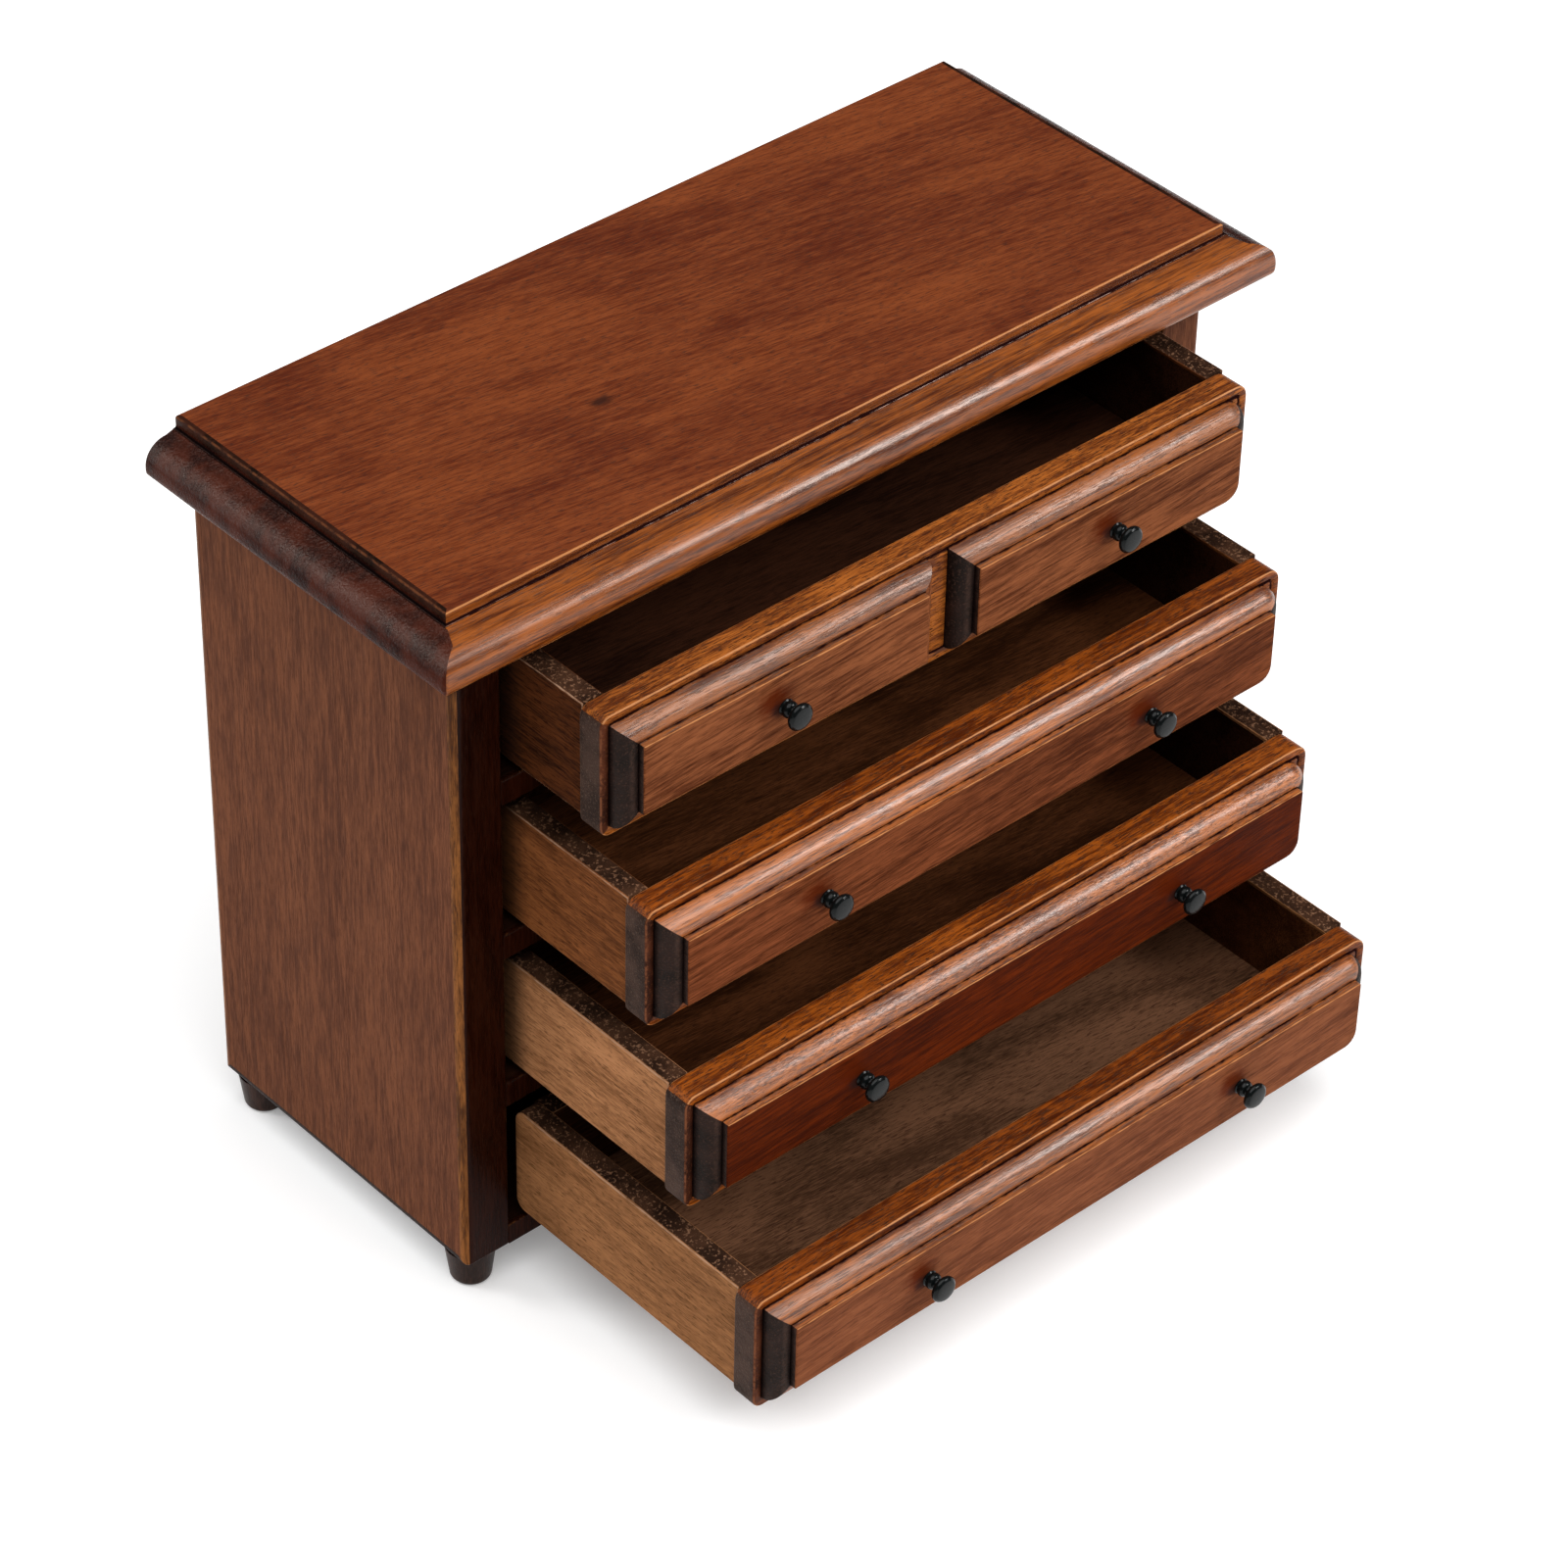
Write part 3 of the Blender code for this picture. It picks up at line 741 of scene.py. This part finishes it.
def top_rows(thickness):
    """From the underside, round the nose and up the moulding's gentle slope, to the fillet, the step and the field."""
    moulding = ("top_moulding", "end_moulding", "end_moulding")
    foot = thickness - TOP_STEP
    rows = [Row(TOP_UNDER_BORDER, 0.0, band=moulding)]
    rows += edge_arc(TOP_UNDER, 0.0, True, wear=0.6, band=moulding)
    nose_base, nose_top = TOP_UNDER + 0.35 * MM, foot - TOP_FALL
    for i in range(MOULDING_STEPS + 1):
        a = math.pi / 2 * i / MOULDING_STEPS
        inset, front = TOP_SIDE_NOSE * (1 - math.cos(a)), TOP_FRONT_NOSE * (1 - math.cos(a))
        rows.append(Row(inset, nose_base + (nose_top - nose_base) * math.sin(a), band=moulding, front=front))
    for share, shift, rise, grime in TOP_SLOPE:
        inset = TOP_SIDE_NOSE + (TOP_SIDE_MOULDING - TOP_SIDE_NOSE) * share + shift * MM
        front = TOP_FRONT_NOSE + (TOP_FRONT_MOULDING - TOP_FRONT_NOSE) * share + shift * MM
        rows.append(Row(inset, foot - TOP_FALL * (1 - rise), moulding, grime=grime, front=front))
    for i in range(FILLET_STEPS + 1):
        a = math.pi / 2 * i / FILLET_STEPS
        back, up = TOP_FILLET * (1 - math.sin(a)), TOP_FILLET * (1 - math.cos(a))
        inset, front = TOP_SIDE_MOULDING - back, TOP_FRONT_MOULDING - back
        grime = 1.1 if i < FILLET_STEPS else 0.4
        rows.append(Row(inset, foot + up, moulding, grime=grime, front=front))
    riser = ("top_moulding", "end_step", "end_step")
    riser_low, riser_high = foot + 2.5 * TOP_FILLET, thickness - 2 * TOP_FIELD_EDGE
    rows.append(Row(TOP_SIDE_MOULDING, riser_low, riser, front=TOP_FRONT_MOULDING))
    rows.append(Row(TOP_SIDE_MOULDING, riser_high, riser, wear=0.2, front=TOP_FRONT_MOULDING))
    field_edge = ("top_field", "end_step", "end_step")
    field_rows = edge_arc(TOP_FIELD_EDGE, thickness, False, wear=1.2, band=field_edge)
    field_rows.append(Row(TOP_FIELD_EDGE + 0.12 * MM, thickness, band=field_edge))
    field_rows.append(Row(TOP_FIELD_EDGE + 0.3 * MM, thickness, band=("top_field",) * 3))
    for row in field_rows:
        row.front += TOP_FRONT_MOULDING
        row.inset += TOP_SIDE_MOULDING
    rows += field_rows
    for row in rows:
        row.rear = 0.0
    rows[0].rear, rows[-1].rear = 0.1 * MM, 0.3 * MM
    return rows


def make_top_board(materials):
    low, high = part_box("top_board")
    slots = ["top_field", "top_moulding", "end_moulding", "end_step"]
    corner = 0.5 * MM
    outline = rectangle(low.x, high.x, low.y, high.y, (0.0, 0.0, corner, corner))
    bm = new_bmesh()
    rows = top_rows(high.z - low.z)
    build_rows(bm, outline, rows, along_z(low.z), slots, ("top_moulding", "top_field"))
    finish_piece("top", bm, [materials[s] for s in slots], "case", "top_board")


def make_side_panel(side, materials):
    """Reaches up to the top board. The outer face's edges are more rounded than the inner one's, and not worn."""
    name = f"side_panel_{side}"
    low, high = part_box(name)
    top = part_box("top_board")[0].z
    edges, wear = (PANEL_OUTER_EDGE, PANEL_INNER_EDGE), (0.0, 0.5)
    if side == "right":
        edges, wear = edges[::-1], wear[::-1]
    rows = board_rows(high.x - low.x, *edges, wear, "panel_edge", "panel_edge")
    # Seen along X, the panel's long sides are its lower and upper ends, and its ends the two upright edges: the front
    # one and the rear one. Rows are counted from the outer face.
    rim = "panel_edge" if side == "left" else "panel_face"
    ordered = rows if side == "left" else rows[::-1]
    for i, row in enumerate(ordered):
        if i < EDGE_STEPS:
            front = rear = "panel_round" if i else "panel_face"
        else:
            front, rear = rim, "panel_face"
        row.band = ("dark_end", front, rear)
    slots = ["panel_face", "panel_round", "panel_edge", "dark_end"]
    bm = new_bmesh()
    outline = rectangle(low.y, high.y, low.z, top, (0.1 * MM, 0.1 * MM, 0.35 * MM, 0.35 * MM))
    build_rows(bm, outline, rows, along_x(low.x), slots, ("panel_face", "panel_face"))
    finish_piece(f"panel_{side}", bm, [materials[s] for s in slots], "case", name)


def make_case_board(node_name, materials):
    """A horizontal board of the case, from panel to panel and back to the back panel."""
    low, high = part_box(node_name)
    left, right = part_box("side_panel_left")[1].x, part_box("side_panel_right")[0].x
    rear, top = high.y + GAP, high.z
    if node_name == "top_rail":
        rear, top = high.y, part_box("top_board")[0].z
    rows = board_rows(top - low.z, 0.2 * MM, 0.2 * MM, (0.3, 0.45), "panel_edge", "panel_edge")
    slots = ["case_inner", "panel_edge"]
    bm = new_bmesh()
    outline = rectangle(left, right, low.y, rear, (0.0,) * 4)
    build_rows(bm, outline, rows, along_z(low.z), slots, ("case_inner", "case_inner"))
    finish_piece(f"{node_name}_wood", bm, [materials[s] for s in slots], "case", node_name)


def make_back_panel(materials):
    """Between the side panels, and up to the top board."""
    low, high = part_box("back_panel")
    left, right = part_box("side_panel_left")[1].x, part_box("side_panel_right")[0].x
    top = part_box("top_board")[0].z
    rows = board_rows(high.y - low.y, 0.2 * MM, 0.1 * MM, (0.4, 0.1), "case_back", "case_back")
    slots = ["case_back", "case_inner"]
    bm = new_bmesh()
    outline = rectangle(left, right, low.z, top, (0.0,) * 4)
    build_rows(bm, outline, rows, towards_front(high.y), slots, ("case_back", "case_inner"))
    finish_piece("back_wood", bm, [materials[s] for s in slots], "case", "back_panel")


def build_turned(bm, outline, centre, axis):
    """Turns (radius, distance, wear, grime) about an axis through centre: "Z" up, or "Y" towards the front."""
    wear, grime = bm.verts.layers.float["wear"], bm.verts.layers.float["grime"]
    loops = []
    for radius, along, worn, dirty in outline:
        loop = []
        for i in range(TURNED_SIDES):
            a = 2 * math.pi * i / TURNED_SIDES
            u, v = radius * math.cos(a), radius * math.sin(a)
            offset = Vector((u, v, along)) if axis == "Z" else Vector((u, -along, v))
            vert = bm.verts.new(centre + offset)
            vert[wear] = worn
            vert[grime] = dirty
            loop.append(vert)
        loops.append(loop)
    for below, above in zip(loops, loops[1:]):
        for i in range(TURNED_SIDES):
            j = (i + 1) % TURNED_SIDES
            bm.faces.new((below[i], below[j], above[j], above[i])).smooth = True
    for loop in (loops[0], loops[-1]):
        bm.faces.new(loop).smooth = True


def arc(centre_radius, centre_along, radius, height, start, end, steps):
    """(radius, distance) along part of an ellipse. Angles in degrees, 0 outwards and 90 along the axis."""
    points = []
    for i in range(steps + 1):
        a = math.radians(start + (end - start) * i / steps)
        points.append((centre_radius + radius * math.cos(a), centre_along + height * math.sin(a)))
    return points


def make_foot(node_name, materials):
    """A slightly tapered peg with a rounded lower edge, set against the case."""
    low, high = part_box(node_name)
    middle = (low + high) / 2
    taper, rounding = 0.4 * MM, 0.5 * MM
    top_radius = (high.x - low.x) / 2
    lower_radius = top_radius - taper
    height = high.z + GAP - low.z
    outline = [(lower_radius - rounding - 0.2 * MM, 0.0)]
    outline += arc(lower_radius - rounding, rounding, rounding, rounding, -90, 0, 6)
    for share in (0.25, 0.5, 0.75, 0.92, 1.0):
        outline.append((lower_radius + (top_radius - lower_radius) * share, rounding + (height - rounding) * share))
    # One row of the rounded edge is worn, and the row against the case is grimy.
    worn_row, grimy_row = 4, len(outline) - 1
    rows = [(r, a, 0.5 * (i == worn_row), 0.8 * (i == grimy_row)) for i, (r, a) in enumerate(outline)]
    bm = new_bmesh()
    build_turned(bm, rows, Vector((middle.x, middle.y, low.z)), "Z")
    finish_piece(f"{node_name}_wood", bm, [materials["foot"]], "case", node_name)


# Drawers


def lip_rows():
    """The slab behind the mouldings: rear face, rim, worn front edge and the ledge."""
    rim = ("lip", "lip_end", "lip_end")
    ledge = ("lip", "ledge_end", "lip")
    rear_edge = 0.15 * MM
    rows = [Row(0.5 * MM, 0.0, band=rim)]
    rows += edge_arc(rear_edge, 0.0, True, wear=0.8, band=rim)
    rows.append(Row(0.0, 0.4 * MM, band=rim))
    rows.append(Row(0.0, LIP_THICKNESS - 2.4 * LIP_EDGE, band=rim))
    rows += edge_arc(LIP_EDGE, LIP_THICKNESS, False, wear=1.0, band=ledge)
    rows.append(Row(0.42 * MM, LIP_THICKNESS, band=ledge))
    for inwards, deep, grime in LEDGE_DIP:
        rows.append(Row(LEDGE + inwards * MM, LIP_THICKNESS - deep * MM, grime=grime, band=ledge))
    return rows


def panel_rows(proud, band):
    """The raised panel: quarter-round moulding, a dark quirk, a small step and the field's worn edge."""
    sunk = 0.3 * MM
    rows = [Row(0.0, LIP_THICKNESS - sunk, grime=1.0, band=band)]
    for i in range(MOULDING_STEPS + 1):
        a = math.pi / 2 * i / MOULDING_STEPS
        inset = FRONT_MOULDING * (1 - math.cos(a))
        height = LIP_THICKNESS + FRONT_MOULDING * math.sin(a)
        foot = MOULDING_FOOT_GRIME[i] if i < len(MOULDING_FOOT_GRIME) else 0.0
        crest = max(0.0, i / MOULDING_STEPS - 0.9) / 0.1
        wear = 0.3 * (i in MOULDING_WORN_ROWS)
        rows.append(Row(inset, height, wear=wear, grime=max(foot, 0.7 * crest), band=band))
    crest_height = rows[-1].height
    for inwards, up, grime in QUIRK:
        rows.append(Row(FRONT_MOULDING + inwards * MM, crest_height + up * MM, grime=grime, band=band))
    step_in = rows[-1].inset
    top = LIP_THICKNESS + proud
    rows.append(Row(step_in, top - 2 * FIELD_EDGE, wear=0.4, band=band))
    field = ("field",) * 3
    for row in edge_arc(FIELD_EDGE, top, False, wear=0.8, band=field):
        row.inset += step_in
        row.front = row.rear = row.inset
        row.end_wear = 0.2
        rows.append(row)
    rows.append(Row(step_in + FIELD_EDGE + 0.2 * MM, top, band=field))
    return rows


def make_front(number, materials):
    """A lip with a raised panel. The top drawer's front has two, with a channel between them, and the side of the left
    one along the channel isn't end-stained.
    """
    node_name = f"drawer_{number}_front"
    low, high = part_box(node_name)
    proud = high.y - low.y - LIP_THICKNESS
    slots = ["lip", "gold", "field", "lip_end", "ledge_end", "dark_end"]
    chosen = [materials[f"{s}_{number}"] for s in slots[:3]] + [materials[s] for s in slots[3:]]
    bm = new_bmesh()
    sharp = 0.15 * MM
    corners = (1.3 * FRONT_CORNER, FRONT_CORNER, FRONT_CORNER, 1.5 * FRONT_CORNER)
    outline = rectangle(low.x, high.x, low.z, high.z, corners)
    build_rows(bm, outline, lip_rows(), towards_front(high.y), slots, ("lip", "lip"))
    spans = [(low.x + LEDGE, high.x - LEDGE, ("gold", "dark_end", "dark_end"))]
    if number == 1:
        spans = [
            (low.x + LEDGE, -CHANNEL_HALF_WIDTH, ("gold", "dark_end", "field")),
            (CHANNEL_HALF_WIDTH, high.x - LEDGE, ("gold", "dark_end", "dark_end")),
        ]
    for left, right, band in spans:
        # Only the corners at the front's right end are rounded.
        at_right_end = right > CHANNEL_HALF_WIDTH
        corners = (1.9 * MM, sharp, sharp, 2.9 * MM) if at_right_end else (sharp,) * 4
        outline = rectangle(left, right, low.z + LEDGE, high.z - LEDGE, corners)
        build_rows(bm, outline, panel_rows(proud, band), towards_front(high.y), slots, ("gold", "field"))
    finish_piece(f"front_{number}", bm, chosen, f"drawer_{number}", node_name)


def make_side(number, side, materials):
    """A side board from the front to its rounded rear end. Its edges are sawn and rough, and its corners worn."""
    node_name = f"drawer_{number}_side_{side}"
    low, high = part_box(node_name)
    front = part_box(f"drawer_{number}_front")[1].y
    edges, wear, faces = (SIDE_OUTER_EDGE, SIDE_INNER_EDGE), (0.75, 0.4), ("side", "inner")
    if side == "right":
        edges, wear, faces = edges[::-1], wear[::-1], faces[::-1]
    rows = board_rows(high.x - low.x, *edges, wear, "side", "sawn")
    slots = ["side", "sawn", "inner"]
    bm = new_bmesh()
    outline = rectangle(front, high.y, low.z, high.z, (BOX_CORNER, 0.0, 0.0, BOX_CORNER))
    build_rows(bm, outline, rows, along_x(low.x), slots, faces)
    inner_face = materials["floor" if number == BOTTOM_DRAWER else "shaded_floor"]
    chosen = [materials[f"side_{number}"], materials["sawn"], inner_face]
    finish_piece(f"side_{side}_{number}", bm, chosen, f"drawer_{number}", node_name)


def make_inner_boards(number, materials):
    """The floor and the back board, glued between the sides."""
    body = f"drawer_{number}"
    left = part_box(f"{body}_side_left")[1].x
    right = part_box(f"{body}_side_right")[0].x
    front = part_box(f"{body}_front")[1].y

    low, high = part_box(f"{body}_bottom")
    rows = board_rows(high.z - low.z, 0.1 * MM, 0.05 * MM, (0.3, 0.0), "floor", "floor")
    bm = new_bmesh()
    outline = rectangle(left, right, front, high.y + GAP, (0.0,) * 4)
    build_rows(bm, outline, rows, along_z(low.z), ["floor"], ("floor", "floor"))
    floor = materials[{1: "shaded_floor", BOTTOM_DRAWER: "lit_floor"}.get(number, "floor")]
    finish_piece(f"floor_{number}", bm, [floor], body, f"{body}_bottom")

    low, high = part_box(f"{body}_back")
    rows = board_rows(high.y - low.y, 0.1 * MM, 0.1 * MM, (0.5, 0.9), "back_board", "sawn")
    slots = ["back_board", "sawn"]
    bm = new_bmesh()
    outline = rectangle(left, right, low.z, high.z, (0.0,) * 4)
    build_rows(bm, outline, rows, towards_front(high.y), slots, ("back_board", "back_board"))
    finish_piece(f"back_{number}", bm, [materials[s] for s in slots], body, f"{body}_back")


def knob_outline(length, head_radius):
    """(radius, distance) over a bead against the field, a waist and a head with a rounded back and a domed front."""
    bead_radius, bead_length = 0.74 * MM, 1.0 * MM
    waist_radius, waist_place, hollow = 0.47 * MM, 1.14 * MM, 0.14 * MM
    edge, dome = 0.30 * MM, 0.12 * MM
    outline = [(0.6 * bead_radius, 0.0), (0.9 * bead_radius, 0.02 * MM), (0.98 * bead_radius, 0.12 * MM)]
    outline += arc(0.35 * bead_radius, 0.52 * bead_length, 0.65 * bead_radius, 0.46 * bead_length, -40, 64, 10)
    outline += arc(waist_radius + hollow, waist_place, -hollow, 0.16 * MM, -50, 50, 6)
    outline += arc(head_radius - edge, length - dome - edge, edge, edge, -85, 62, 12)
    outline += arc(0.0, length - dome, head_radius - 0.18 * MM, dome, 14, 84, 8)
    return outline


def make_knob(number, side, materials):
    """A turned knob, whose foot is set slightly into the field."""
    node_name = f"drawer_{number}_knob_{side}"
    low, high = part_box(node_name)
    sunk = 0.03 * MM
    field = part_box(f"drawer_{number}_front")[0].y
    centre = Vector(((low.x + high.x) / 2, field + sunk, (low.z + high.z) / 2))
    outline = knob_outline(centre.y - low.y, (high.x - low.x) / 2)
    bm = new_bmesh()
    build_turned(bm, [(r, along, 0.0, 0.0) for r, along in outline], centre, "Y")
    name = f"knob_{side}_{number}"
    finish_piece(name, bm, [materials["black_knob"]], f"drawer_{number}", node_name)


# Stage


def add_area_light(name, place, target, size, power):
    data = bpy.data.lights.new(name, "AREA")
    data.shape = "RECTANGLE"
    data.size, data.size_y = size
    data.energy = power
    light = bpy.data.objects.new(name, data)
    bpy.context.scene.collection.objects.link(light)
    light.location = place
    light.rotation_euler = (target - Vector(place)).to_track_quat("-Z", "Y").to_euler()


def add_overhead_light():
    """An even, very soft light from far away."""
    data = bpy.data.lights.new("overhead", "SUN")
    data.angle = OVERHEAD_ANGLE
    data.energy = OVERHEAD_STRENGTH
    light = bpy.data.objects.new("overhead", data)
    bpy.context.scene.collection.objects.link(light)
    light.rotation_euler = Vector(OVERHEAD_DIRECTION).to_track_quat("Z", "Y").to_euler()


def make_stage(materials):
    """The ground, the lights and the backdrop."""
    bm = bmesh.new()
    bmesh.ops.create_grid(bm, x_segments=1, y_segments=1, size=GROUND_HALF_WIDTH)
    mesh = bpy.data.meshes.new("floor_plane")
    bm.to_mesh(mesh)
    bm.free()
    mesh.materials.append(materials["pale_floor"])
    ground = bpy.data.objects.new("floor_plane", mesh)
    bpy.context.scene.collection.objects.link(ground)
    ground.location.z = cad_low.z - GROUND_DROP

    add_overhead_light()
    middle = Vector((0, 0, (cad_low.z + cad_high.z) / 2))
    for name, place, size, power in AREA_LIGHTS:
        add_area_light(name, place, middle, size, power)

    # The camera sees a white backdrop, which lights the object only faintly.
    world = bpy.data.worlds.new("studio")
    world.use_nodes = True
    background = world.node_tree.nodes["Background"]
    background.inputs["Color"].default_value = rgba((1.0, 1.0, 1.0))
    seen = node(world.node_tree, "ShaderNodeLightPath").outputs["Is Camera Ray"]
    strength = ramp(world.node_tree, seen, 0.0, 1.0, BACKDROP_LIGHT, 1.0)
    world.node_tree.links.new(strength, background.inputs["Strength"])
    bpy.context.scene.world = world
    bpy.context.scene.view_settings.view_transform = "Standard"


def make_camera():
    """At the photograph's angle. It stays where it is from the case, whatever the drawers do."""
    data = bpy.data.cameras.new("camera")
    data.sensor_width = 36.0
    data.lens = CAMERA_LENS
    data.shift_x, data.shift_y = CAMERA_SHIFT
    data.clip_start, data.clip_end = 0.01, 20.0
    camera = bpy.data.objects.new("camera", data)
    bpy.context.scene.collection.objects.link(camera)
    case_front = Vector((0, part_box("side_panel_left")[0].y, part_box("top_board")[0].z))
    azimuth, down, roll = (math.radians(a) for a in (CAMERA_AZIMUTH, CAMERA_DOWN, CAMERA_ROLL))
    turn = Euler((math.pi / 2 - down, 0, -azimuth)).to_matrix() @ Matrix.Rotation(roll, 3, "Z")
    camera.rotation_euler = turn.to_euler()
    camera.location = case_front + CAMERA_FROM_CASE
    bpy.context.scene.camera = camera


def main():
    materials = make_materials()
    for number in DRAWERS:
        make_drawer_materials(number, materials)
    make_top_board(materials)
    for side in ("left", "right"):
        make_side_panel(side, materials)
    for name in ("bottom_board", "divider_upper", "divider_middle", "divider_lower", "top_rail"):
        make_case_board(name, materials)
    make_back_panel(materials)
    for name in ("foot_front_left", "foot_front_right", "foot_rear_left", "foot_rear_right"):
        make_foot(name, materials)
    for number in DRAWERS:
        make_front(number, materials)
        make_inner_boards(number, materials)
        for side in ("left", "right"):
            make_side(number, side, materials)
            make_knob(number, side, materials)
    make_stage(materials)
    make_camera()


main()
